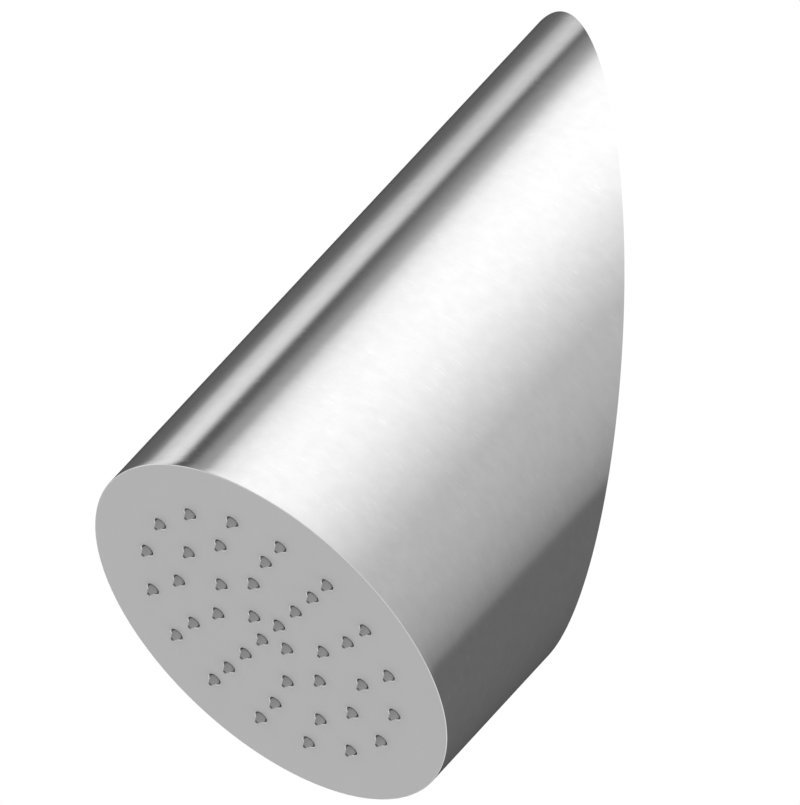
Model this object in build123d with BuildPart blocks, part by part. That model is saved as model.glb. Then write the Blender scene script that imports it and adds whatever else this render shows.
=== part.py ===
from build123d import *
import os
from math import cos, pi, radians, sqrt, tan

os.makedirs("parts", exist_ok=True)

# Overhead shower head: a stainless tube cut off at a slant where it meets the wall,
# closed at its lower end by a drilled spray plate with soft nozzles.
# Millimetres. The wall is the plane Y = 0, the room is on its -Y side, and +Z is up.
# The origin is where the tube's axis meets the wall.

# Tube, and how it stands on the wall
axis_slope = 50.0  # degrees between the tube's axis and a line square to the wall
tube_radius = 57.5
tube_wall = 1.5
short_side = 51.0  # the tube's length along its underside, from the wall to the spray face

# Spray plate
plate_thick = 2.0
plate_edge_break = 0.4
nozzle_first_ring = 6.0
nozzle_ring_pitch = 12.0
nozzle_inner_ring_counts = (4, 8, 12)
nozzle_outer_ring_count = 16
nozzle_hole_radius = 1.87

# Nozzle mat, one moulding in soft silicone
mat_inset = 0.5  # from the mat's edge to the edge of the cover's flange
mat_thick = 1.5
nozzle_neck_gap = 0.45  # round a nozzle's neck, in its hole
nozzle_proud = 2.15  # how far a nozzle stands out of the plate
nozzle_tip_radius = 0.6
nozzle_bore_radius = 0.35
nozzle_sides = 8  # flats that stand for each small round, to keep forty nozzles light
nozzle_bore_sides = 6

# Water chamber behind the mat: a moulded cover, held down by tabs welded to the plate
chamber_depth = 8.0
chamber_margin = 2.5  # from the outermost ring of nozzles to the chamber's side
cover_wall = 2.4
cover_back = 3.0
flange_thick = 4.0
flange_reach = 8.6  # how far the flange stands out from the cover's side
tab_count = 6
tab_room = 0.6  # between a tab and the tube
tab_gap = 0.2  # between a tab and the flange's edge
tab_thick = 1.2
tab_width = 8.0
tab_end_gap = 2.8  # between a tab's end and the cover's side

# Hub of the cover: a socket that plugs on to the connector's spigot
spigot_radius = 8.4  # and of the connector's tube, all the way to the union
socket_gap = 0.05
socket_wall = 4.0
spigot_overlap = 24.0
spigot_end_gap = 1.0
hub_neck = 7.5  # from the cover's back to the seat of the regulator
insert_gap = 0.08  # round the regulator and the strainer, in the hub past the spigot's end
water_bore_radius = 5.5
rib_count = 6
rib_thick = 2.0
rib_inset = 5.0  # from the foot of a rib to the cover's side
rib_height = 22.0
rib_root = 1.0  # how far a rib runs into the cover's back and hub

# Flow regulator and strainer
regulator_thick = 6.0
regulator_port_circle = 4.6
regulator_port_radius = 1.2
regulator_ports = 6
regulator_port_sides = 8
strainer_thick = 1.5
strainer_slot = 1.0
strainer_pitch = 2.0
strainer_slots = 5
strainer_rim = 2.0

# Spigot seal
seal_depth = 1.6
seal_width = 2.4
seal_gap = 0.02
seal_from_end = 12.0

# Supply side, on a line square to the wall
knee_depth = 30.0  # from the wall to the knee of the angle connector
supply_thread_radius = 10.478
supply_thread_gap = 0.05
nipple_key_flats = 12.0  # six-sided bore that a key turns
relief_depth = 0.7
relief_past_wall = 1.0  # plain neck past each face of the bracket's plate
wall_thread_length = 14.0
union_thread_length = 10.0
gasket_thick = 2.0
gasket_edge_gap = 0.33  # between the gasket's edge and the union nut's thread
gasket_bore_radius = 7.2
tail_flange_gap = 0.23  # between the connector's flange and the same thread
tail_flange_thick = 3.0
union_across_flats = 30.0
union_back_gap = 2.0  # between the union nut and the bracket's plate
union_lip_thick = 3.0
union_lip_gap = 0.2

# Wall bracket and the screw that locks the head on it
bracket_gap = 0.25
bracket_plate_thick = 3.0
bracket_depth = 14.0
lug_thick = 2.0
lug_width = 44.0
wall_screw_spacing_x = 56.0
wall_screw_spacing_z = 88.0
wall_screw_hole_radius = 2.75
supply_hole_gap = 0.3
lock_screw_radius = 2.5
lock_screw_length = 10.0
lock_screw_inset = 0.3  # how far its outer end lies below the tube's outside
lock_socket_flats = 2.5
lock_socket_depth = 3.0
lock_thread_gap = 0.05
lock_hole_gap = 0.25
lock_nut_flats = 8.0
lock_nut_thick = 4.0

# Places along the tube's axis, measured from the wall
slope = tan(radians(axis_slope))
per_depth = 1 / cos(radians(axis_slope))  # axis length for each millimetre away from the wall
face_at = short_side + tube_radius * slope
plate_back_at = face_at - plate_thick
mat_back_at = plate_back_at - mat_thick
ceiling_at = mat_back_at - chamber_depth
cover_back_at = ceiling_at - cover_back
insert_seat_at = cover_back_at - hub_neck
insert_mouth_at = insert_seat_at - regulator_thick - strainer_thick
spigot_end_at = insert_mouth_at - spigot_end_gap
socket_mouth_at = spigot_end_at - spigot_overlap
seal_at = spigot_end_at - seal_from_end
knee_at = knee_depth * per_depth
flange_back_at = mat_back_at - flange_thick
tube_tail = tube_radius * slope  # how far the tube's long side runs back past the origin

# Radii that fit one piece to another
tube_bore_radius = tube_radius - tube_wall
tab_inside = tube_bore_radius - tab_room - tab_thick
flange_radius = tab_inside - tab_gap
mat_radius = flange_radius - mat_inset
cover_side_radius = flange_radius - flange_reach
chamber_radius = cover_side_radius - cover_wall
nozzle_outer_ring = chamber_radius - chamber_margin
rib_foot_radius = cover_side_radius - rib_inset
tab_end_radius = cover_side_radius + tab_end_gap
nozzle_neck_radius = nozzle_hole_radius - nozzle_neck_gap
nozzle_cone_inset = (nozzle_neck_radius - nozzle_tip_radius) * cos(pi / nozzle_sides)
socket_radius = spigot_radius + socket_gap
hub_radius = socket_radius + socket_wall
insert_radius = socket_radius - insert_gap
bracket_radius = tube_bore_radius - bracket_gap
lug_inside_radius = bracket_radius - lug_thick
lock_thread_radius = lock_screw_radius + lock_thread_gap
union_thread_radius = supply_thread_radius + supply_thread_gap
gasket_radius = union_thread_radius - gasket_edge_gap
tail_flange_radius = union_thread_radius - tail_flange_gap
groove_width = seal_width + 2 * seal_gap
strainer_half_width = strainer_slots * strainer_pitch / 2
strainer_slot_length = 2 * sqrt((insert_radius - strainer_rim) ** 2 - strainer_half_width**2)
lock_nut_corner = lock_nut_flats / sqrt(3)
lock_nut_outer = sqrt(lug_inside_radius**2 - lock_nut_corner**2)  # its corners touch the lug
bracket_run = 2 * bracket_radius * slope + bracket_depth * per_depth
lock_at = tube_bore_radius * slope + bracket_depth * per_depth / 2

# Depths in front of the wall along the supply line
union_thread_start = bracket_plate_thick + relief_past_wall
nipple_front = union_thread_start + union_thread_length
nipple_back = -relief_past_wall - wall_thread_length
gasket_front = nipple_front + gasket_thick
tail_flange_front = gasket_front + tail_flange_thick
union_back = bracket_plate_thick + union_back_gap
supply_height = -knee_depth * slope

# Planes. In a section plane, x is the radius and y runs along the axis.
axis_dir = Vector(0, -1, 0).rotate(Axis.X, axis_slope)
wall = Plane(origin=(0, 0, 0), x_dir=(1, 0, 0), z_dir=(0, -1, 0))
head = Plane(origin=(0, 0, 0), x_dir=(1, 0, 0), z_dir=axis_dir)
head_axis = Axis((0, 0, 0), axis_dir)
head_section = Plane(origin=(0, 0, 0), x_dir=head.y_dir, z_dir=(1, 0, 0))
supply = Plane(origin=(0, 0, supply_height), x_dir=(1, 0, 0), z_dir=(0, -1, 0))
supply_axis = Axis((0, 0, supply_height), (0, -1, 0))
supply_section = Plane(origin=(0, 0, supply_height), x_dir=(0, 0, 1), z_dir=(1, 0, 0))
mitre = Plane(origin=(0, -knee_depth, supply_height), x_dir=(1, 0, 0), z_dir=axis_dir + Vector(0, -1, 0))
underside = Plane(origin=axis_dir * lock_at, x_dir=(1, 0, 0), z_dir=-head.y_dir)

# The nozzles stand in rings, and each ring starts on the level line across the plate
nozzle_rings = [
    (nozzle_first_ring + nozzle_ring_pitch * step, count)
    for step, count in enumerate(nozzle_inner_ring_counts)
]
nozzle_rings.append((nozzle_outer_ring, nozzle_outer_ring_count))
nozzle_places = [
    Vector(ring_radius, 0).rotate(Axis.Z, 360 * step / count)
    for ring_radius, count in nozzle_rings
    for step in range(count)
]


def section_planes(count):
    """Section planes spaced evenly round the head's axis."""
    outward = [head.y_dir.rotate(head_axis, 360 * step / count) for step in range(count)]
    return [Plane(origin=(0, 0, 0), x_dir=out, z_dir=out.cross(axis_dir)) for out in outward]


rib_planes = section_planes(rib_count)
tab_planes = section_planes(tab_count)


def hand_in(piece, name):
    """Labels a finished piece and writes it to its own file."""
    piece.part.label = name
    export_step(piece.part, "parts/" + name + ".step")


def band(inner, outer, start, end, mode=Mode.ADD):
    """A rectangle in a section plane: two radii and two places along the axis."""
    with Locations(((inner + outer) / 2, (start + end) / 2)):
        Rectangle(outer - inner, end - start, mode=mode)


def at_each_nozzle(radius, sides):
    """One small round at each nozzle's place, in the sketch that is open."""
    with Locations(*nozzle_places):
        RegularPolygon(radius, sides)


def mitred_run(radius, start_depth, end_at):
    """A round bar along the supply line to the knee, and on down the head's axis."""
    with BuildPart() as level:
        with BuildSketch(supply.offset(start_depth)):
            Circle(radius)
        extrude(amount=knee_depth + radius - start_depth)
        split(bisect_by=mitre, keep=Keep.BOTTOM)
    with BuildPart() as sloping:
        with BuildSketch(head.offset(end_at)):
            Circle(radius)
        extrude(amount=knee_at - radius - end_at)
        split(bisect_by=mitre, keep=Keep.TOP)
    return level.part + sloping.part


# Tube of the head: rolled stainless, cut to the wall, with the lock screw's hole underneath
with BuildPart() as body_shell:
    with BuildSketch(head.offset(-tube_tail)):
        Circle(tube_radius)
        Circle(tube_bore_radius, mode=Mode.SUBTRACT)
    extrude(amount=plate_back_at + tube_tail)
    split(bisect_by=wall, keep=Keep.TOP)
    with BuildSketch(underside):
        Circle(lock_screw_radius + lock_hole_gap)
    extrude(amount=tube_radius, mode=Mode.SUBTRACT)
hand_in(body_shell, "body_shell")

# Spray plate: a drilled disc, welded flush into the tube's lower end, its front edge broken
with BuildPart() as spray_plate:
    with BuildSketch(head.offset(plate_back_at)):
        Circle(tube_radius)
    extrude(amount=plate_thick)
    chamfer(spray_plate.edges().sort_by(head_axis)[-1], plate_edge_break)
    with BuildSketch(head.offset(plate_back_at)):
        at_each_nozzle(nozzle_hole_radius, nozzle_sides)
    extrude(amount=plate_thick, mode=Mode.SUBTRACT)
hand_in(spray_plate, "spray_plate")

# One nozzle, on its own: a neck as long as the plate is thick, and a blunt cone past it
with BuildPart() as nozzle:
    with BuildSketch():
        RegularPolygon(nozzle_neck_radius, nozzle_sides)
    extrude(amount=plate_thick + nozzle_proud)
    tip = nozzle.faces().sort_by(Axis.Z)[-1]
    chamfer(tip.edges(), nozzle_cone_inset, nozzle_proud, reference=tip)

# Nozzle mat: a soft sheet behind the plate, with a hollow nozzle through each of its holes
with BuildPart(head.offset(plate_back_at)) as nozzle_mat:
    with BuildSketch(head.offset(mat_back_at)):
        Circle(mat_radius)
    extrude(amount=mat_thick)
    with Locations(*nozzle_places):
        add(nozzle.part)
    with BuildSketch(head.offset(mat_back_at)):
        at_each_nozzle(nozzle_bore_radius, nozzle_bore_sides)
    extrude(amount=mat_thick + plate_thick + nozzle_proud, mode=Mode.SUBTRACT)
hand_in(nozzle_mat, "nozzle_mat")

# Cover of the water chamber: its rim clamps the mat, and its ribbed hub takes the spigot
with BuildPart() as chamber_cover:
    with BuildSketch(head_section):
        band(0, flange_radius, flange_back_at, mat_back_at)
        band(0, cover_side_radius, cover_back_at, mat_back_at)
        band(0, hub_radius, socket_mouth_at, ceiling_at)
        band(0, chamber_radius, ceiling_at, mat_back_at, Mode.SUBTRACT)
        band(0, water_bore_radius, insert_seat_at, ceiling_at, Mode.SUBTRACT)
        band(0, socket_radius, socket_mouth_at, insert_seat_at, Mode.SUBTRACT)
    revolve(axis=head_axis)
    with BuildSketch(*rib_planes):
        with BuildLine():
            Polyline(
                (hub_radius - rib_root, cover_back_at + rib_root),
                (rib_foot_radius, cover_back_at + rib_root),
                (rib_foot_radius, cover_back_at),
                (hub_radius, cover_back_at - rib_height),
                (hub_radius - rib_root, cover_back_at - rib_height),
                close=True,
            )
        make_face()
    extrude(amount=rib_thick / 2, both=True)
hand_in(chamber_cover, "chamber_cover")

# Clamp tabs: strips welded to the plate and bent over the cover's flange
with BuildPart() as clamp_tabs:
    with BuildSketch(*tab_planes):
        band(tab_inside, tab_inside + tab_thick, flange_back_at - tab_thick, plate_back_at)
        band(tab_end_radius, tab_inside, flange_back_at - tab_thick, flange_back_at)
    extrude(amount=tab_width / 2, both=True)
hand_in(clamp_tabs, "clamp_tabs")

# Flow regulator: a disc that water passes through six ports
with BuildPart() as flow_regulator:
    with BuildSketch(head.offset(insert_seat_at)):
        Circle(insert_radius)
        with PolarLocations(regulator_port_circle, regulator_ports):
            RegularPolygon(regulator_port_radius, regulator_port_sides, mode=Mode.SUBTRACT)
    extrude(amount=-regulator_thick)
hand_in(flow_regulator, "flow_regulator")

# Strainer: a slotted disc that stops grit ahead of the regulator
with BuildPart() as inlet_strainer:
    with BuildSketch(head.offset(insert_mouth_at)):
        Circle(insert_radius)
        with GridLocations(strainer_pitch, 0, strainer_slots, 1):
            Rectangle(strainer_slot, strainer_slot_length, mode=Mode.SUBTRACT)
    extrude(amount=strainer_thick)
hand_in(inlet_strainer, "inlet_strainer")

# Angle connector: mitred brass tube, flanged at the union and grooved near its free end
connector_tube = mitred_run(spigot_radius, gasket_front, spigot_end_at)
connector_bore = mitred_run(water_bore_radius, gasket_front, spigot_end_at)
with BuildPart() as angle_connector:
    add(connector_tube)
    with BuildSketch(supply_section):
        band(0, tail_flange_radius, gasket_front, tail_flange_front)
    revolve(axis=supply_axis)
    with BuildSketch(head_section):
        band(spigot_radius - seal_depth, hub_radius, seal_at, seal_at + groove_width)
    revolve(axis=head_axis, mode=Mode.SUBTRACT)
    add(connector_bore, mode=Mode.SUBTRACT)
hand_in(angle_connector, "angle_connector")

# Spigot seal: a square-section ring in the spigot's groove
with BuildPart() as spigot_seal:
    with BuildSketch(head_section):
        band(
            spigot_radius - seal_depth + seal_gap,
            socket_radius - seal_gap,
            seal_at + seal_gap,
            seal_at + seal_gap + seal_width,
        )
    revolve(axis=head_axis)
hand_in(spigot_seal, "spigot_seal")

# Union nut: draws the connector's flange on to the end of the nipple
with BuildPart() as union_nut:
    with BuildSketch(supply.offset(union_back)):
        RegularPolygon(union_across_flats / 2, 6, major_radius=False)
        Circle(union_thread_radius, mode=Mode.SUBTRACT)
    extrude(amount=tail_flange_front - union_back)
    with BuildSketch(supply.offset(tail_flange_front)):
        RegularPolygon(union_across_flats / 2, 6, major_radius=False)
        Circle(spigot_radius + union_lip_gap, mode=Mode.SUBTRACT)
    extrude(amount=union_lip_thick)
hand_in(union_nut, "union_nut")

# Union gasket: a flat ring between the nipple and the connector
with BuildPart() as union_gasket:
    with BuildSketch(supply_section):
        band(gasket_bore_radius, gasket_radius, nipple_front, gasket_front)
    revolve(axis=supply_axis)
hand_in(union_gasket, "union_gasket")

# Supply nipple: threaded for the union in front and for the pipe in the wall behind
with BuildPart() as supply_nipple:
    with BuildSketch(supply_section):
        band(0, supply_thread_radius, union_thread_start, nipple_front)
        band(0, supply_thread_radius - relief_depth, -relief_past_wall, union_thread_start)
        band(0, supply_thread_radius, nipple_back, -relief_past_wall)
    revolve(axis=supply_axis)
    with BuildSketch(supply.offset(nipple_back)):
        RegularPolygon(nipple_key_flats / 2, 6, major_radius=False)
    extrude(amount=nipple_front - nipple_back, mode=Mode.SUBTRACT)
hand_in(supply_nipple, "supply_nipple")

# Wall bracket: a plate screwed to the wall, with two curved lugs that the tube slides over
with BuildPart() as wall_bracket:
    with BuildSketch(head.offset(-bracket_radius * slope)):
        Circle(bracket_radius)
    extrude(amount=bracket_run)
    split(bisect_by=wall.offset(bracket_plate_thick), keep=Keep.BOTTOM)
    with BuildSketch(head.offset(-bracket_radius * slope)):
        Rectangle(lug_width, 2 * bracket_radius)
        Circle(bracket_radius, mode=Mode.INTERSECT)
        Circle(lug_inside_radius, mode=Mode.SUBTRACT)
    extrude(amount=bracket_run)
    split(bisect_by=wall, keep=Keep.TOP)
    split(bisect_by=wall.offset(bracket_depth), keep=Keep.BOTTOM)
    with BuildSketch(wall):
        with GridLocations(wall_screw_spacing_x, wall_screw_spacing_z, 2, 2):
            Circle(wall_screw_hole_radius)
        with Locations((0, supply_height)):
            Circle(supply_thread_radius + supply_hole_gap)
    extrude(amount=bracket_plate_thick, mode=Mode.SUBTRACT)
    with BuildSketch(underside):
        Circle(lock_thread_radius)
    extrude(amount=tube_radius, mode=Mode.SUBTRACT)
hand_in(wall_bracket, "wall_bracket")

# Lock nut: welded inside the lower lug
with BuildPart() as lock_nut:
    with BuildSketch(underside.offset(lock_nut_outer - lock_nut_thick)):
        RegularPolygon(lock_nut_flats / 2, 6, major_radius=False)
        Circle(lock_thread_radius, mode=Mode.SUBTRACT)
    extrude(amount=lock_nut_thick)
hand_in(lock_nut, "lock_nut")

# Set screw: through the tube's underside into the lock nut, driven from below
with BuildPart() as set_screw:
    with BuildSketch(underside.offset(tube_radius - lock_screw_inset)):
        Circle(lock_screw_radius)
    extrude(amount=-lock_screw_length)
    with BuildSketch(underside.offset(tube_radius - lock_screw_inset)):
        RegularPolygon(lock_socket_flats / 2, 6, major_radius=False)
    extrude(amount=-lock_socket_depth, mode=Mode.SUBTRACT)
hand_in(set_screw, "set_screw")
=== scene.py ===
# %% [markdown]
# # An overhead shower head in brushed stainless steel
# The real thing is a short steel tube, cut off at a slant where it meets the wall and closed at
# its lower end by a drilled plate. Forty small silicone nozzles stand out of the holes.
# The CAD model gives every piece its place and size. Blender gives the smooth rounds, the real
# thread and the finishes. So the lesson loads the model first, and never moves it.

# %% Load the fixed frame
import math

import bmesh
import bpy
import numpy as np
from mathutils import Matrix


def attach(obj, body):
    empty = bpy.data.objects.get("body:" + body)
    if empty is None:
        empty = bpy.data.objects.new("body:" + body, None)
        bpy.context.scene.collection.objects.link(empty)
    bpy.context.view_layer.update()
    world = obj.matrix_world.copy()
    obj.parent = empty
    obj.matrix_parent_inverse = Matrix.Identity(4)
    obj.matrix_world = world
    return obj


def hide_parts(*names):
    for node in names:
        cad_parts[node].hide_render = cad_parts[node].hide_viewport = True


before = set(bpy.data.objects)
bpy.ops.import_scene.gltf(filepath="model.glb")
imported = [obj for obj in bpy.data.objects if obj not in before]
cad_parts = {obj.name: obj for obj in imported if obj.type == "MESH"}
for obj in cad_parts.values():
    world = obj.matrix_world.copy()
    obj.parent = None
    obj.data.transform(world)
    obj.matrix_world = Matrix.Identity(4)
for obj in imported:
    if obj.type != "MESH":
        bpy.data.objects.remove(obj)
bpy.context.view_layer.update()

print("nodes:", ", ".join(sorted(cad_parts)))

# %% [markdown]
# ## Sizes
# A shape that stands for a CAD piece has to repeat its sizes, here in millimetres. The wall is
# the plane Y = 0, the room is on its -Y side, and the tube's axis slopes down into the room.
# Places along the axis count from the wall, so they follow from the slope and the short side.

# %% Sizes of the tube, the plate and the nozzles
slope = math.radians(50.0)
tube_radius, tube_bore, short_side = 57.5, 56.0, 51.0
plate_thick, mat_thick, mat_radius = 2.0, 1.5, 53.5
face_at = short_side + tube_radius * math.tan(slope)
plate_back_at = face_at - plate_thick
mat_back_at = plate_back_at - mat_thick
hole_radius, neck_radius, bore_radius, nozzle_proud = 1.87, 1.42, 0.35, 2.15
rings = ((6.0, 4), (18.0, 8), (30.0, 12), (40.5, 16))  # radius and number of nozzles
print(f"spray face {face_at:.2f} mm along the axis, {sum(n for _, n in rings)} nozzles")

# %% [markdown]
# ## Surfaces from arrays
# Each new shape is a surface worked out on a grid: one number says how far round a point is and
# one how far along, and a formula gives its place. Modelling by hand could give the same forms,
# but a formula keeps the holes, the nozzles and the rim exactly where the CAD has them. The head
# has its own axes: x is level, y points to the tube's long side, and z runs down the axis. One
# matrix turns those into the world's axes.

# %% From the head's own axes to the world
head_axes = np.array([[1, 0, 0],
                      [0, -math.sin(slope), math.cos(slope)],
                      [0, -math.cos(slope), -math.sin(slope)]])


def in_world(x, y, z):
    """Millimetres on the head's axes become metres in the world: each number times its axis,
    added up, over a thousand."""
    return np.stack(np.broadcast_arrays(x, y, z), axis=-1) @ head_axes / 1000


def grid(points, closed):
    """Points in rows and columns become four-sided faces. A face joins a point to the next one
    in its row, and both to the row after. A closed grid also joins the last column to the first."""
    rows, columns = points.shape[:2]
    row = np.arange(rows - 1)[:, None] * columns
    here = np.arange(columns if closed else columns - 1)[None, :]
    there = (here + 1) % columns
    corners = [row + here, row + there, row + columns + there, row + columns + here]
    return points.reshape(-1, 3), np.stack(np.broadcast_arrays(*corners), axis=-1).reshape(-1, 4)


print("spray face centre, in the world:", in_world(0, 0, face_at).round(4))

# %% [markdown]
# Surfaces that meet share their edge points, so welding the doubles makes one closed skin. Then
# the faces are turned outwards. Smooth shading hides the facets, and every edge sharper than
# thirty degrees stays crisp.

# %% From surfaces to one piece on the object
weld_distance = 2e-7  # metres
crisp_angle = math.radians(30)


def make_piece(name, surfaces, slot, *replaced):
    """Joins the surfaces into one welded mesh that rides on the object in place of CAD nodes."""
    points = np.concatenate([p for p, _ in surfaces])
    starts = np.cumsum([0] + [len(p) for p, _ in surfaces])
    faces = []
    for (_, corners), start in zip(surfaces, starts):
        faces += (corners + start).tolist()
    mesh = bpy.data.meshes.new(name)
    mesh.from_pydata(points.tolist(), [], faces)
    skin = bmesh.new()
    skin.from_mesh(mesh)
    bmesh.ops.remove_doubles(skin, verts=skin.verts, dist=weld_distance)
    bmesh.ops.recalc_face_normals(skin, faces=skin.faces)
    open_edges = sum(not edge.is_manifold for edge in skin.edges)
    skin.to_mesh(mesh)
    skin.free()
    mesh.shade_smooth()
    mesh.set_sharp_from_angle(angle=crisp_angle)
    piece = bpy.data.objects.new(name, mesh)
    bpy.context.scene.collection.objects.link(piece)
    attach(piece, "root")
    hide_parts(*replaced)
    mesh.calc_loop_triangles()
    print(f"{name}: {len(mesh.loop_triangles)} triangles, {open_edges} open edges")
    return piece


# %% [markdown]
# ## The tube
# The real tube is rolled sheet, 1.5 mm thick, sawn off at the wall and ground flat there. A
# cylinder cut by a Boolean would look the same, but it leaves long thin faces along the cut. Here
# each line along the tube starts on the wall instead, where its own angle puts it.
# The lock screw's hole underneath needs a window in the grid. The window is filled by a grid of
# its own, which runs from the window's outline to the round hole.

# %% Lines along the tube
columns = 384
underside = columns * 3 // 4  # the column along the tube's short side
around = np.arange(columns) * math.tau / columns
bracket_depth, lock_hole, window_half = 14.0, 2.75, 7.5
lock_at = tube_bore * math.tan(slope) + bracket_depth / math.cos(slope) / 2
window = lock_at + np.linspace(-window_half, window_half, 5)
columns_out = 8  # from the middle of the window to its side


def tube_skin(radius):
    """Where each line meets the wall: radius times the sine of its angle times the tangent of the
    slope, back from the origin. Rows run from there to the window, and on to the plate."""
    at_wall = -radius * np.sin(around) * math.tan(slope)
    share = np.linspace(0, 1, 9)[:, None]
    back = at_wall + share * (window[0] - at_wall)
    front = np.linspace(window[-1], plate_back_at, 5)[:, None] + 0 * around
    middle = window[:, None] + 0 * around
    x, y = radius * np.cos(around), radius * np.sin(around)
    back, middle, front = in_world(x, y, back), in_world(x, y, middle), in_world(x, y, front)
    clear = np.roll(np.arange(columns), -(underside + columns_out))[: columns - 2 * columns_out + 1]
    return [grid(back, True), grid(middle[:, clear], False), grid(front, True)]


def window_skin(radius, shares):
    """The window round the lock hole. A point goes from the outline to the circle in the same
    direction, by its share, and is then lifted on to the tube's round."""
    turn = around[underside - columns_out : underside + columns_out + 1]
    level, rise = radius * np.cos(turn), window - lock_at
    outline = np.concatenate([
        np.stack([level[:-1], 0 * level[:-1] + rise[0]], axis=-1),
        np.stack([0 * rise[:-1] + level[-1], rise[:-1]], axis=-1),
        np.stack([level[:0:-1], 0 * level[:0:-1] + rise[-1]], axis=-1),
        np.stack([0 * rise[:0:-1] + level[0], rise[:0:-1]], axis=-1),
    ])
    circle = lock_hole * outline / np.linalg.norm(outline, axis=-1, keepdims=True)
    flat = outline + np.asarray(shares)[:, None, None] * (circle - outline)
    return in_world(flat[..., 0], -np.sqrt(radius**2 - flat[..., 0] ** 2), lock_at + flat[..., 1])


outside = window_skin(tube_radius, np.linspace(0, 1, 6))
inside = window_skin(tube_bore, np.linspace(1, 0, 6))
outer, inner = tube_skin(tube_radius), tube_skin(tube_bore)
lock_window = np.concatenate([outside, inside])
wall_ring = np.stack([outer[0][0][:columns], inner[0][0][:columns]])
front_ring = np.stack([outer[2][0][-columns:], inner[2][0][-columns:]])
rest_of_tube = [grid(points, True) for points in (lock_window, wall_ring, front_ring)]
tube = make_piece("brushed_tube", [*outer, *inner, *rest_of_tube],
                  "brushed_stainless", "body_shell")

# %% [markdown]
# ## The plate and the nozzle mat
# Both are discs with forty holes in the same places, so one function makes both. A disc is cut
# into cells, one round each nozzle, like a cake cut along rings and spokes. In each cell the
# surface starts on the cell's outline, runs in to the hole, follows the hole's own profile and
# runs out again on the back. For the plate that profile is a short bore with a broken edge. For
# the mat it climbs through the plate, up the nozzle, over its tip and down the fine bore.

# %% A disc with a profile in every hole
spokes = 96
ring_limits = (1.5, 12.0, 24.0, 35.25, 46.0)  # radii between the rings of cells
side_steps = (8, 10, 10, 12)  # faces along a cell's side, ring by ring
rim_field = 50.0  # radius at which the rim's finer columns start


def cell_rows(ring, hole_profile, front, back):
    """All cells of one ring. The outline follows two arcs and two spokes. Every profile row keeps
    each outline point's direction from the hole's centre and takes the profile's radius."""
    centre_radius, count = rings[ring]
    low, high = ring_limits[ring], ring_limits[ring + 1]
    arc = np.linspace(-1, 1, spokes // count + 1) * math.pi / count
    side = np.linspace(low, high, side_steps[ring] + 1)
    reach = np.concatenate([0 * arc[:-1] + low, side[:-1], 0 * arc[:-1] + high, side[:0:-1]])
    swing = np.concatenate([arc[:-1], 0 * side[:-1] + arc[-1], arc[:0:-1], 0 * side[:-1] + arc[0]])
    turn = np.arange(count)[:, None] * math.tau / count
    outline = np.stack([reach * np.cos(turn + swing), reach * np.sin(turn + swing)], axis=-1)
    centre = centre_radius * np.stack([np.cos(turn), np.sin(turn)], axis=-1)
    away = outline - centre
    away /= np.linalg.norm(away, axis=-1, keepdims=True)
    radius, height = np.array(hole_profile).T
    rows = centre[:, None] + radius[None, :, None, None] * away[:, None]
    rows = np.concatenate([outline[:, None], rows, outline[:, None]], axis=1)
    heights = np.concatenate([[front], height, [back]])[None, :, None]
    return in_world(rows[..., 0], rows[..., 1], heights)


def level_field(height):
    """The disc's middle, closed to a point, and the ring that goes over to the rim's columns."""
    angles = np.arange(spokes) * math.tau / spokes
    reach = np.array([[ring_limits[0]], [0]])
    middle = grid(in_world(reach * np.cos(angles), reach * np.sin(angles), height), True)
    few = in_world(ring_limits[-1] * np.cos(angles), ring_limits[-1] * np.sin(angles), height)
    many = in_world(rim_field * np.cos(around), rim_field * np.sin(around), height)
    k = np.arange(spokes)[:, None]
    fine = columns // spokes
    outer = spokes + (fine * k + np.arange(fine + 1)) % columns
    fans = np.concatenate([k, outer, (k + 1) % spokes], axis=1)
    return [middle, (np.concatenate([few, many]), fans)]


def drilled_disc(hole_profile, rim_profile, front, back):
    """Cells, both flat fields and the rim, whose profile is carried once round the axis."""
    skins = [*level_field(front), *level_field(back)]
    for ring in range(len(rings)):
        skins += [grid(cell, True) for cell in cell_rows(ring, hole_profile, front, back)]
    radius, height = np.array([(rim_field, front), *rim_profile, (rim_field, back)]).T[:, :, None]
    skins.append(grid(in_world(radius * np.cos(around), radius * np.sin(around), height), True))
    return skins


# %% [markdown]
# The plate's front edge is rounded to a quarter of a millimetre. That small round catches the
# light as a thin bright line between the face and the tube. The holes have a broken edge too: it
# is drawn as a cut at 45 degrees with a small turn at each end, and keeps the gap round each
# nozzle from looking like a black ring.

# %% Spray plate
edge_radius, broken_edge = 0.25, 0.2
quarter = np.linspace(0, math.pi / 2, 7)
plate_rim = np.column_stack([
    tube_radius - edge_radius + edge_radius * np.sin(quarter),
    face_at - edge_radius + edge_radius * np.cos(quarter),
]).tolist() + [(tube_radius, plate_back_at)]
plate_hole = [
    (hole_radius + broken_edge, face_at),
    (hole_radius + 0.16, face_at - 0.02),
    (hole_radius + 0.02, face_at - broken_edge),
    (hole_radius, face_at - 0.25),
    (hole_radius, plate_back_at),
]
plate = make_piece("drilled_plate", drilled_disc(plate_hole, plate_rim, face_at, plate_back_at),
                   "fine_blasted_stainless", "spray_plate")

# %% [markdown]
# A nozzle is a soft cone on a neck. The neck fills the hole but for a fine gap, which shows dark
# at both ends. The lip is thin and rounded, so the cone ends a little below the CAD's flat tip, and
# inside it a wide mouth narrows to the fine bore. From the side only that mouth is seen, as a dark
# spot on the tip.

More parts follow.
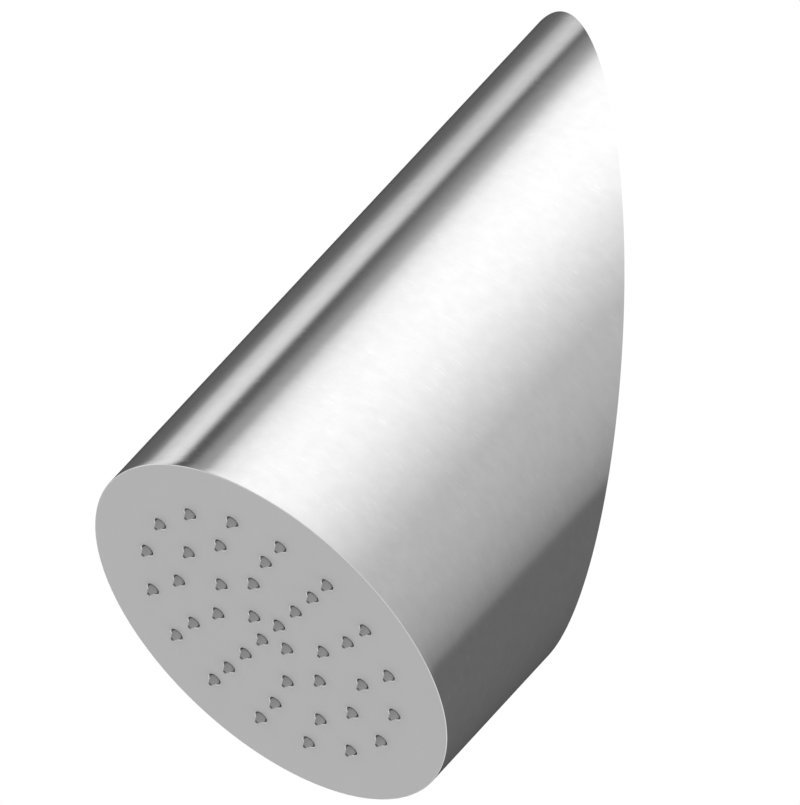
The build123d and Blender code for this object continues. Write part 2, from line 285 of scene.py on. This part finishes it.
# %% Nozzle mat
lip_radius = 0.55  # outside of the lip
lip_at = face_at + nozzle_proud - 0.2
cone_top = nozzle_proud - 0.3
taper = np.linspace(0, 1, 7)
cone = np.column_stack([
    neck_radius + (lip_radius - neck_radius) * taper**0.95,
    face_at + cone_top * taper,
])
lip = [
    (lip_radius - 0.01, lip_at - 0.05),
    (lip_radius - 0.03, lip_at),
    (lip_radius - 0.04, lip_at - 0.02),
]
mouth = [(lip_radius - 0.05, lip_at - 0.1), (lip_radius - 0.06, lip_at - 1.2)]
bore = [(bore_radius, lip_at - 1.6), (bore_radius, mat_back_at)]
neck = [(neck_radius, plate_back_at), (neck_radius, face_at - 0.15)]
nozzle = [*neck, *cone.tolist(), *lip, *mouth, *bore]
mat_rim = [(mat_radius, plate_back_at), (mat_radius, mat_back_at)]
mat = make_piece("nozzle_sheet", drilled_disc(nozzle, mat_rim, plate_back_at, mat_back_at),
                 "grey_silicone", "nozzle_mat")

# %% [markdown]
# ## The thread of the supply nipple
# The nipple screws into the pipe in the wall, and a second thread carries the union. CAD keeps
# both as plain rounds, because a thread is slow to compute and adds nothing to the fit. Here it
# is a helix: the place in the thread is the distance along minus the turn, in pitches, and the
# depth follows a rounded tooth. A Screw modifier could make it too, but the ends would not fade.

# %% Supply nipple with its threads
pitch, thread_depth, end_chamfer, fade_length = 1.814, 1.1, 1.1, 1.2
thread_radius, relief_radius, least_radius = 10.478, 9.778, 9.2
key_flats, knee_depth = 12.0, 30.0
pipe_end, neck_back, neck_front, union_end = -15.0, -1.0, 4.0, 14.0  # depths in front of the wall
supply_height = -knee_depth * math.tan(slope)
turn = np.arange(96) * math.tau / 96
depth_in = np.concatenate([
    np.linspace(pipe_end, neck_back, 110),
    np.linspace(neck_back + 0.15, neck_front - 0.15, 8),
    np.linspace(neck_front, union_end, 80),
])


def threaded_radius(depth, angle):
    """The crest radius, less the tooth's depth. The tooth is a cosine, flattened at the crest.
    A ramp takes the depth away near the neck, and the ends are cut back by a chamfer."""
    from_end = np.minimum(depth - pipe_end, union_end - depth)
    from_neck = np.maximum(neck_back - depth, depth - neck_front)
    tooth = (0.5 - 0.5 * np.cos(math.tau * (depth / pitch - angle / math.tau))) ** 0.7
    fade = np.clip(from_neck / fade_length, 0, 1)
    crest = np.where(from_neck < 0, relief_radius, thread_radius)
    crest = np.minimum(crest, thread_radius - end_chamfer + np.clip(from_end, 0, end_chamfer))
    cut = np.minimum(thread_depth, crest - least_radius) * fade * tooth
    return crest - np.where(from_neck < 0, 0, cut)


def on_supply(radius, depth, angle):
    """A radius and an angle round the supply line, at a depth in front of the wall, in metres."""
    level, rise = radius * np.cos(angle), supply_height + radius * np.sin(angle)
    return np.stack(np.broadcast_arrays(level, -depth, rise), axis=-1) / 1000


key_radius = key_flats / 2 / np.cos((turn + math.pi / 6) % (math.pi / 3) - math.pi / 6)
thread = on_supply(threaded_radius(depth_in[:, None], turn), depth_in[:, None], turn)
key_bore = on_supply(key_radius, depth_in[[-1, 0], None], turn)
nipple = make_piece("threaded_nipple", [grid(np.concatenate([thread, key_bore, thread[:1]]), True)],
                    "machined_brass", "supply_nipple")

# %% [markdown]
# ## Writing materials as sums
# A material is a net of nodes. Drawing it by hand is clear for five nodes and hard to read for
# twenty, so here a socket is wrapped in a small class. Then a sum such as 1 - mask adds its Math
# node by itself, and one method makes every other node.

# %% A socket that can be added and multiplied


class Value:
    """One socket of a finish. Sums on it add Math nodes, on either side of the sign."""

    def __init__(self, finish, socket):
        self.finish, self.socket = finish, socket

    def sum(self, operation, first, second):
        return self.finish.node("ShaderNodeMath", {"operation": operation}, {0: first, 1: second})

    def __add__(self, other):
        return self.sum("ADD", self, other)

    def __radd__(self, other):
        return self.sum("ADD", other, self)

    def __sub__(self, other):
        return self.sum("SUBTRACT", self, other)

    def __rsub__(self, other):
        return self.sum("SUBTRACT", other, self)

    def __mul__(self, other):
        return self.sum("MULTIPLY", self, other)

    def __rmul__(self, other):
        return self.sum("MULTIPLY", other, self)


class Finish:
    """A material with one Principled shader, whose fixed numbers sit on the shader itself."""

    def __init__(self, name, **fixed):
        self.material = bpy.data.materials.new(name)
        self.material.use_nodes = True
        self.tree = self.material.node_tree
        self.shader = self.tree.nodes["Principled BSDF"]
        for socket, number in fixed.items():
            self.shader.inputs[socket.replace("_", " ")].default_value = number

    def node(self, kind, settings, inputs, output=0):
        """Adds a node: first its settings, then the numbers or links of its sockets."""
        made = self.tree.nodes.new(kind)
        for name, setting in settings.items():
            if name == "stops":
                for place, colour in setting[2:]:
                    made.color_ramp.elements.new(place)
                for element, (place, colour) in zip(made.color_ramp.elements, setting):
                    element.position, element.color = place, colour
            else:
                setattr(made, name, setting)
        for name, value in inputs.items():
            if isinstance(value, Value):
                self.tree.links.new(value.socket, made.inputs[name])
            else:
                made.inputs[name].default_value = value
        return Value(self, made.outputs[output])

    def place(self, turn, grain):
        """Object coordinates, turned on to the piece's own axes and counted in grains."""
        spot = self.node("ShaderNodeTexCoord", {}, {}, "Object")
        return self.node("ShaderNodeMapping", {"vector_type": "TEXTURE"},
                         {"Vector": spot, "Rotation": turn, "Scale": grain})

    def noise(self, turn, grain, detail=2.0):
        """Soft noise from 0 to 1, one blot to a grain."""
        spot = self.place(turn, grain)
        settings = {"Vector": spot, "Scale": 1.0, "Detail": detail, "Roughness": 0.55}
        return self.node("ShaderNodeTexNoise", {}, settings)

    def step(self, value, start, end, interpolation="LINEAR"):
        """From nought to one while the value goes from start to end."""
        return self.node("ShaderNodeMapRange", {"interpolation_type": interpolation},
                         {"Value": value, "From Min": start, "From Max": end})

    def blend(self, factor, low, high):
        """A colour between two others. Sockets 6 and 7 are the node's two colours."""
        ends = {"Factor": factor, 6: low, 7: high}
        return self.node("ShaderNodeMix", {"data_type": "RGBA"}, ends, 2)

    def bump(self, height, strength, distance):
        """Dents from a height. The distance is the depth in metres at full height."""
        settings = {"Height": height, "Strength": strength, "Distance": distance}
        return self.node("ShaderNodeBump", {}, settings)

    def feed(self, **values):
        """Links what varies to the shader's own sockets."""
        for socket, value in values.items():
            self.tree.links.new(value.socket, self.shader.inputs[socket.replace("_", " ")])
        print(f"finish {self.material.name}: {len(self.tree.nodes)} nodes")
        return self.material


def grey(level, warmth=0.0):
    """A grey in linear light, a little warmer where warmth is above nought."""
    return (level * (1 + warmth), level, level * (1 - warmth), 1.0)


# %% [markdown]
# ## Brushed stainless
# The tube is finished on a lathe with a belt, so its fine scratches run round it and never along
# it. They are short, and only show where the light is bright. A stretched noise gives them: one
# grain is some millimetres round the tube and a third of a millimetre along it. The noise is
# read in three dimensions on the tube's own axes, so that it closes round the tube with no seam.
# The deepest scratches come in clusters, where the belt pressed harder.

# %% Brushed finish
tube_turn = (slope + math.radians(90), 0.0, 0.0)  # lays the z axis along the tube


def brushed_finish(name, roughness):
    """Fine scratches everywhere, deep ones where two noises peak, and uneven patches."""
    steel = Finish(name, Metallic=1.0)
    fine = steel.noise(tube_turn, (0.005, 0.005, 0.0003), 3.0)
    peaks = steel.noise(tube_turn, (0.0035, 0.0035, 0.0005), 1.0)
    clusters = steel.noise(tube_turn, (0.009, 0.009, 0.006), 1.0)
    deep = steel.step(peaks, 0.61, 0.73) * steel.step(clusters, 0.5, 0.62)
    patches = steel.noise(tube_turn, (0.0045, 0.0045, 0.003), 3.0)
    cloud = steel.noise(tube_turn, (0.03, 0.03, 0.02), 2.0)
    shine = 0.55 * patches + 0.2 * fine + 0.25 * deep
    return steel.feed(
        Base_Color=steel.blend(shine, grey(0.57), grey(0.715)),
        Roughness=roughness + 0.04 * fine + 0.04 * cloud,
        Normal=steel.bump(0.3 * fine + 0.7 * deep, 0.3, 0.00003),
    )


brushed = brushed_finish("brushed_steel", 0.08)
drilled_edge = brushed_finish("drilled_edge", 0.35)
tube.data.materials.append(brushed)

# %% [markdown]
# ## Fine blasted stainless
# The spray face is matt and even: glass beads leave tiny dimples with no direction. They are far
# smaller than a pixel, so most of the look is roughness, and a faint noise keeps it from flat.
# The plate's rim is brushed with the tube, and the holes' edges are broken after the blasting, so
# those faces take brushed finishes. The middle of each face tells where it lies.

# %% Blasted finish on the plate
blasted = Finish("blasted_steel", Metallic=1.0)
dimples = blasted.noise((0, 0, 0), (0.00025, 0.00025, 0.00025), 2.0)
patches = blasted.noise((0, 0, 0), (0.018, 0.018, 0.018), 2.0)
blasted.feed(
    Base_Color=blasted.blend(patches, grey(0.543), grey(0.561)),
    Roughness=0.72 + 0.06 * dimples,
    Normal=blasted.bump(dimples, 0.06, 0.00002),
)
for finish in (blasted.material, brushed, drilled_edge):
    plate.data.materials.append(finish)
count = len(plate.data.polygons)
centres = np.empty(count * 3)
plate.data.polygons.foreach_get("center", centres)
on_axes = centres.reshape(-1, 3) @ head_axes.T * 1000
below_face = face_at - on_axes[:, 2]
on_rim = np.hypot(on_axes[:, 0], on_axes[:, 1]) > tube_radius - edge_radius + 0.02
on_broken_edge = np.abs(below_face - broken_edge / 2) < broken_edge / 2 - 0.005
which = np.where(on_rim, 1, np.where(on_broken_edge, 2, 0)).astype(np.int32)
plate.data.polygons.foreach_set("material_index", which)
print("faces of the plate by finish:", np.bincount(which))

# %% [markdown]
# ## Silicone, mouldings and rubber
# These are not metals. Silicone is soft and a little waxy, with a broad dull highlight. The
# cover is a plain grey moulding and the regulator a white one, both with a slight moulded
# texture. The seals are black rubber, which is duller still.

# %% Soft and moulded finishes


def moulded_finish(name, low, high, roughness, **fixed):
    """A matt material whose colour and roughness drift a little over the piece."""
    made = Finish(name, **fixed)
    drift = made.noise((0, 0, 0), (0.008, 0.008, 0.008), 3.0)
    skin = made.noise((0, 0, 0), (0.0004, 0.0004, 0.0004), 2.0)
    return made.feed(
        Base_Color=made.blend(drift, low, high),
        Roughness=roughness + 0.1 * drift,
        Normal=made.bump(skin, 0.1, 0.00003),
    )


silicone = moulded_finish("nozzle_silicone", grey(0.24), grey(0.28), 0.5)
grey_moulding = moulded_finish("cover_moulding", grey(0.30), grey(0.35), 0.4)
white_moulding = moulded_finish("regulator_moulding", grey(0.72, 0.01), grey(0.8, 0.01), 0.35)
black_rubber = moulded_finish("seal_rubber", grey(0.012), grey(0.02), 0.6)
mat.data.materials.append(silicone)

# %% [markdown]
# ## Rolled steel and turned brass
# The bracket and the clamp tabs are cut from rolled sheet, whose faint grain runs one way. The
# nut, nipple and connector are turned brass, with fine rings round the supply line.

# %% Rolled and turned finishes
rolled = Finish("rolled_steel", Metallic=1.0)
grain = rolled.noise((0, 0, 0), (0.0005, 0.0005, 0.012), 3.0)
smudge = rolled.noise((0, 0, 0), (0.02, 0.02, 0.02), 2.0)
rolled.feed(
    Base_Color=rolled.blend(grain, grey(0.50, 0.01), grey(0.58, 0.01)),
    Roughness=0.3 + 0.1 * grain + 0.08 * smudge,
    Normal=rolled.bump(grain, 0.08, 0.00003),
)
brass = Finish("turned_brass", Metallic=1.0)
rings_cut = brass.noise((0, 0, 0), (0.01, 0.00025, 0.01), 2.0)
tarnish = brass.noise((0, 0, 0), (0.009, 0.009, 0.009), 3.0)
brass.feed(
    Base_Color=brass.blend(tarnish, (0.72, 0.50, 0.22, 1), (0.80, 0.60, 0.30, 1)),
    Roughness=0.22 + 0.1 * rings_cut + 0.1 * tarnish,
    Normal=brass.bump(rings_cut, 0.1, 0.00003),
)
nipple.data.materials.append(brass.material)

# %% [markdown]
# The other CAD pieces keep their shapes, and only their material slots change.

# %% Finishes on the CAD pieces that stay
finishes = {
    rolled.material: ("clamp_tabs", "inlet_strainer", "wall_bracket", "lock_nut", "set_screw"),
    brass.material: ("angle_connector", "union_nut"),
    grey_moulding: ("chamber_cover",),
    white_moulding: ("flow_regulator",),
    black_rubber: ("spigot_seal", "union_gasket"),
}
for material, names in finishes.items():
    for name in names:
        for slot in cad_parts[name].material_slots:
            slot.material = material
    print(material.name, "on", ", ".join(names))

# %% [markdown]
# ## The camera
# The photograph was taken from far away: parallel edges of the tube stay parallel. So the lens is
# very long and the camera far off, on the line from which the round face shows as that oval.

# %% Camera at the photograph's angle
towards = np.array([0.87732, -0.34524, -0.33335])
towards /= np.linalg.norm(towards)
level_right = np.cross((0, 0, 1), towards)
level_right /= np.linalg.norm(level_right)
upward = np.cross(towards, level_right)
picture_middle = np.array([0.030954, -0.052646, -0.034876])
view_height = 0.210399  # metres from the picture's top to its bottom
camera_data = bpy.data.cameras.new("camera")
camera_data.lens = 1650.0
camera_data.sensor_fit = "VERTICAL"
camera_data.sensor_height = camera_data.sensor_width = 36.0
distance = view_height * camera_data.lens / camera_data.sensor_height
camera = bpy.data.objects.new("camera", camera_data)
bpy.context.scene.collection.objects.link(camera)
turn = Matrix(np.column_stack([level_right, upward, towards]).tolist()).to_4x4()
camera.matrix_world = Matrix.Translation((picture_middle + distance * towards).tolist()) @ turn
camera_data.clip_start, camera_data.clip_end = 0.5, 20.0
bpy.context.scene.camera = camera
bpy.context.scene.view_settings.view_transform = "Standard"
print(f"camera {distance:.2f} m away, {view_height * 1000:.0f} mm of height in view")

# %% [markdown]
# ## The studio
# Polished metal has no colour of its own: it shows what stands round it. A photographer hangs
# long panels round a steel tube, and each panel becomes one band of light. Here the panels are
# printed on one round tent about the tube's own axis. Only mirror-like rays see it, so it gives
# the metal its bands and leaves the matt pieces, the floor and the background alone.
# A ray from the camera that leaves the tube at some angle round it lands on the tent at twice
# that angle, so each stop below is written as the place on the tube where it shows, in degrees
# from the tube's lower edge in the picture, with the panel's brightness. One set stands by the
# wall, one by the face, and the one in front of the face lights the plate and its round edge.

# %% Panels of light round the tube
panels_by_wall = (
    (0, 0.05), (4, 0.09), (10, 0.12), (16, 0.145), (24, 0.175), (36, 0.195), (47.8, 0.195),
    (49.9, 0.39), (58, 0.54), (66, 0.64), (76, 0.74), (82, 0.75), (88, 0.95), (94, 1.14),
    (100, 1.33), (106, 1.51), (112, 1.60), (118, 1.63), (124, 1.60), (130, 1.50), (133.5, 1.25),
    (136, 0.82), (139, 0.47), (142, 0.33), (145.2, 0.13), (148.0, 0.83), (151.4, 0.90),
    (156.7, 0.54), (159.6, 0.275), (163.5, 0.165), (170.5, 0.13), (178, 0.06),
)
panels_by_face = (
    (0, 0.05), (4, 0.09), (10, 0.12), (16, 0.145), (24, 0.175), (36, 0.195), (48.6, 0.195),
    (51.1, 0.34), (58, 0.51), (66, 0.62), (76, 0.71), (82, 0.74), (88, 0.90), (94, 1.08),
    (100, 1.26), (106, 1.41), (112, 1.50), (118, 1.53), (124, 1.48), (130, 1.30), (133.5, 0.99),
    (136, 0.49), (139, 0.41), (142, 0.13), (144.8, 0.11), (147.4, 1.06), (150.6, 1.15),
    (156.5, 0.75), (159.2, 0.29), (163, 0.165), (170.5, 0.13), (178, 0.06),
)
front_panels = (
    (0, 0.85), (12, 0.85), (22, 1.10), (36, 1.15), (46, 0.95), (60, 0.80), (82, 0.80),
    (94, 1.10), (118, 1.20), (130, 0.50), (142, 0.95), (156, 1.15), (166, 0.95), (180, 0.85),
)
tent_radius, tent_reach = 0.7, 1.2  # metres
tent_strength = 2.0  # so that a stop, which holds one at most, can be brighter than white
across, over, _ = head_axes @ towards
mirror_turn = math.pi - math.atan2(over, across)  # puts the camera's side at half a turn

tent_finish = Finish("tent_panels")
spot = tent_finish.place(tube_turn, (1, 1, 1))
axes = tent_finish.node("ShaderNodeSeparateXYZ", {}, {"Vector": spot}).socket.node
x, y, z = [Value(tent_finish, socket) for socket in axes.outputs]
angle = tent_finish.node("ShaderNodeMath", {"operation": "ARCTAN2"}, {0: y, 1: x})
share = (angle + mirror_turn + 2 * math.tau) * (1 / math.tau)
share = tent_finish.node("ShaderNodeMath", {"operation": "FRACT"}, {0: share})


def printed(panels):
    """The stops of one set of panels. A ray starts on the tube's skin and not on its axis, so it
    lands nearer the tent's middle, by half the arc sine of the radii's ratio times the cosine."""
    place, level = np.array(panels).T
    ratio = tube_radius / 1000 / tent_radius
    lands = place + np.degrees(np.arcsin(ratio * np.cos(np.radians(place)))) / 2
    lands = np.clip(lands / 180, 0, 1).tolist()
    colours = [grey(brightness / tent_strength) for brightness in level.tolist()]
    return {"stops": list(zip(lands, colours))}


def fade(start, end):
    """From nought to one between two places along the tent, gently at both ends."""
    return tent_finish.step(z, start, end, "SMOOTHSTEP")


by_wall, by_face, in_front = [
    tent_finish.node("ShaderNodeValToRGB", printed(panels), {"Fac": share})
    for panels in (panels_by_wall, panels_by_face, front_panels)
]
glow = tent_finish.blend(fade(-0.44, -0.22), by_wall, by_face)
glow = tent_finish.blend(fade(0.0, 0.2), glow, in_front)
glow = tent_finish.blend(fade(0.7, 1.1), glow, grey(0.5))
emission = tent_finish.node("ShaderNodeEmission", {}, {"Color": glow, "Strength": tent_strength})
output = tent_finish.tree.nodes["Material Output"]
tent_finish.tree.links.new(emission.socket, output.inputs["Surface"])

sides = 128
angles = np.arange(sides) * math.tau / sides
reach = 1000 * tent_radius * np.array([0, 1, 1, 0])[:, None]
along = 1000 * tent_reach * np.array([-1, -1, 1, 1])[:, None]
points, faces = grid(in_world(reach * np.cos(angles), reach * np.sin(angles), along), True)
tent_mesh = bpy.data.meshes.new("light_tent")
tent_mesh.from_pydata(points.tolist(), [], faces.tolist())
tent_mesh.materials.append(tent_finish.material)
tent = bpy.data.objects.new("light_tent", tent_mesh)
bpy.context.scene.collection.objects.link(tent)
tent.visible_camera = tent.visible_diffuse = False
tent.visible_shadow = tent.visible_transmission = False
tent_finish.material.cycles.emission_sampling = "NONE"
print(f"{len(panels_by_wall)} panel edges on a tent {2 * tent_radius} m across")

# %% [markdown]
# The floor is a pale disc well below the head, as a bathroom's floor is. It is small, because a
# camera that looks up from below must not have it in the way.

# %% Floor
floor_radius, floor_height = 0.6, -1.3  # metres
floor_finish = Finish("pale_floor", Roughness=0.9)
specks = floor_finish.noise((0, 0, 0), (0.05, 0.05, 0.05), 3.0)
floor_finish.feed(Base_Color=floor_finish.blend(specks, grey(0.86), grey(0.9)))
disc = np.column_stack([
    floor_radius * np.cos(angles), floor_radius * np.sin(angles), 0 * angles + floor_height,
])
floor_mesh = bpy.data.meshes.new("floor")
floor_mesh.from_pydata(disc.tolist(), [], [list(range(sides))])
floor_mesh.materials.append(floor_finish.material)
floor = bpy.data.objects.new("floor", floor_mesh)
bpy.context.scene.collection.objects.link(floor)

# %% [markdown]
# The world is white to the camera and to mirror-like rays, so the background is plain white. To
# matt surfaces it is a soft even light. Two broad lamps above and beside the head give the soft
# shading, at a level where a colour renders about as it is written. A smaller one, low and near
# the wall, grazes the plate and lights the lower flanks of the nozzles.

# %% World and lamps
world = bpy.data.worlds.new("studio")
bpy.context.scene.world = world
world.use_nodes = True
net = world.node_tree
background = net.nodes["Background"]
path = net.nodes.new("ShaderNodeLightPath")
seen = path.outputs["Is Camera Ray"]
for ray in ("Is Glossy Ray", "Is Transmission Ray"):
    more = net.nodes.new("ShaderNodeMath")
    more.operation = "MAXIMUM"
    net.links.new(seen, more.inputs[0])
    net.links.new(path.outputs[ray], more.inputs[1])
    seen = more.outputs[0]
level = net.nodes.new("ShaderNodeMapRange")
level.inputs["To Min"].default_value = 0.62  # for matt surfaces
level.inputs["To Max"].default_value = 1.0  # for the camera and mirror-like rays
net.links.new(seen, level.inputs["Value"])
net.links.new(level.outputs[0], background.inputs["Strength"])
background.inputs["Color"].default_value = (1, 1, 1, 1)
world.cycles.sampling_method = "NONE"


def lamp(name, place, aim, size, power):
    """A square soft lamp at a place, turned to its aim, that leaves the mirror-like look alone."""
    light = bpy.data.lights.new(name, "AREA")
    light.size, light.energy = size, power
    made = bpy.data.objects.new(name, light)
    bpy.context.scene.collection.objects.link(made)
    away = np.array(place) - np.array(aim)
    side = np.cross((0, 0, 1), away)
    side, away = side / np.linalg.norm(side), away / np.linalg.norm(away)
    turn = Matrix(np.column_stack([side, np.cross(away, side), away]).tolist())
    made.matrix_world = Matrix.Translation(place) @ turn.to_4x4()
    made.visible_glossy = False


head_middle = (0, -0.05, 0)
lamp("overhead_lamp", (0.5, -0.6, 1.2), head_middle, 1.0, 14.0)
lamp("side_lamp", (1.2, -0.9, -0.1), head_middle, 0.9, 6.0)
lamp("low_lamp", (0.28, 0.65, -1.09), head_middle, 0.5, 3.8)
